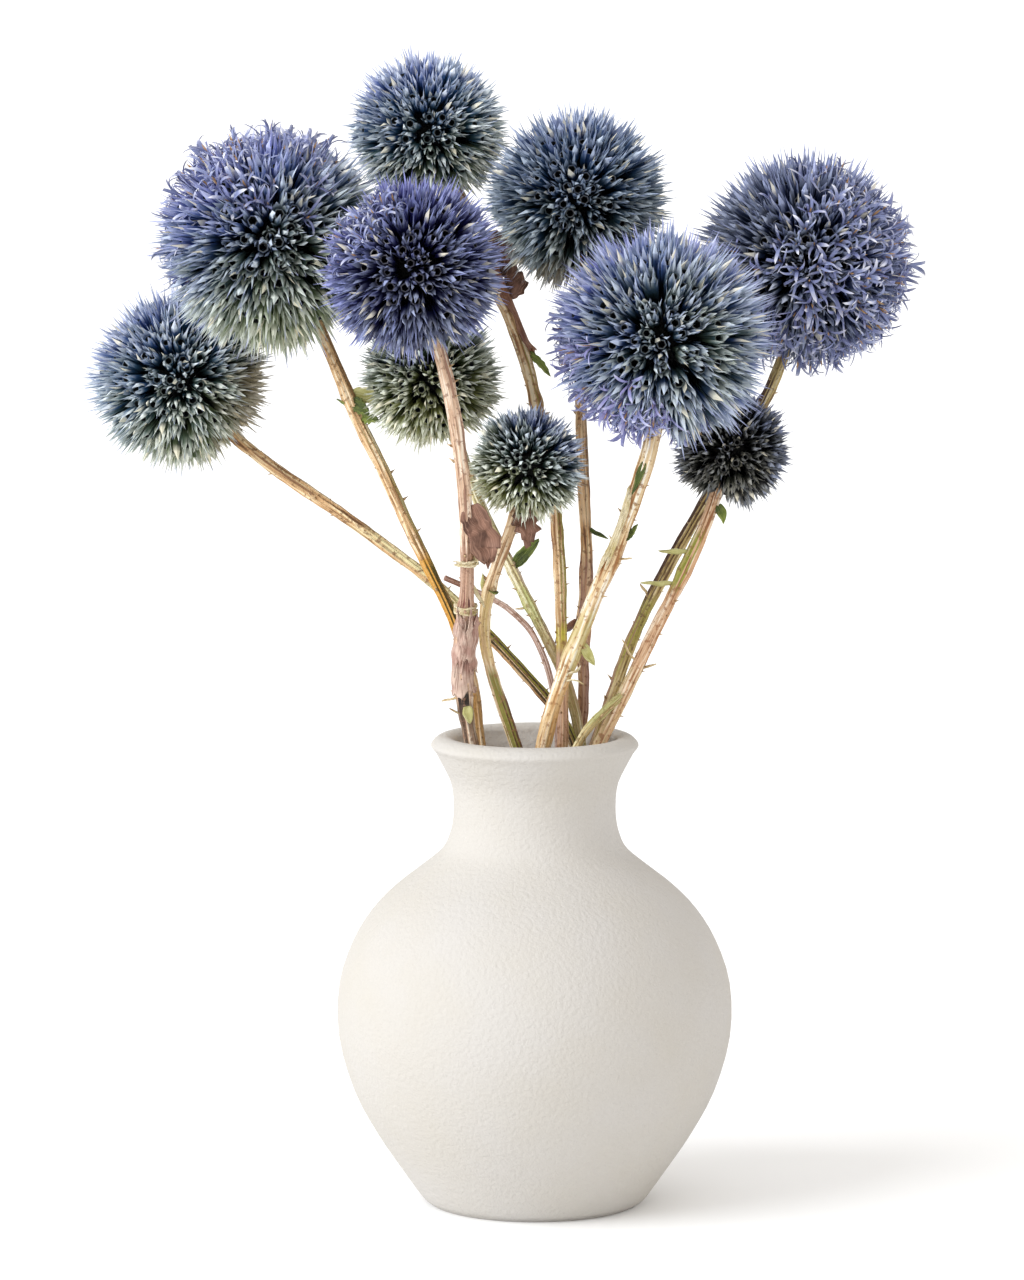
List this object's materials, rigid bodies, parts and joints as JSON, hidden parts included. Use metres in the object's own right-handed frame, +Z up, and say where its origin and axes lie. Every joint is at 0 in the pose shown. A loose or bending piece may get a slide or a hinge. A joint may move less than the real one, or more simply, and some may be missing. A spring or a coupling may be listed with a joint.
{
  "type": "dried globe thistles in a vase",
  "caption": "Dried globe thistles: spiky round blue-violet flower heads on prickly straw-coloured stems, fanned out of a matte off-white stoneware vase with a round belly and narrow neck",
  "frame": {"origin": "centre of the vase's foot, on the surface that it stands on", "axes": "+Z up along the vase's axis; +X to the right and +Y away from the viewer in the front view, where the bunch fans out along X"},
  "size_m": [0.2121, 0.1179, 0.2865],
  "materials": {
    "stoneware": "matte",
    "bark_straw": "matte",
    "bark_olive": "matte",
    "bark_brown": "matte",
    "bark_pink": "matte",
    "florets_violet": "matte",
    "florets_indigo": "matte",
    "florets_blue": "matte",
    "florets_green": "matte",
    "florets_slate": "matte"
  },
  "bodies": {
    "root": {"vase": "stoneware", "stem_01": "bark_pink", "stem_02": "bark_olive", "stem_03": "bark_pink", "stem_04": "bark_olive", "stem_05": "bark_straw", "stem_06": "bark_brown", "stem_07": "bark_straw", "stem_08": "bark_brown", "stem_09": "bark_straw", "stem_10": "bark_straw", "bare_stalk": "bark_brown", "head_01": "florets_blue", "head_02": "florets_violet", "head_03": "florets_indigo", "head_04": "florets_blue", "head_05": "florets_green", "head_06": "florets_blue", "head_07": "florets_violet", "head_08": "florets_violet", "head_09": "florets_green", "head_10": "florets_slate"}
  },
  "joints": []
}
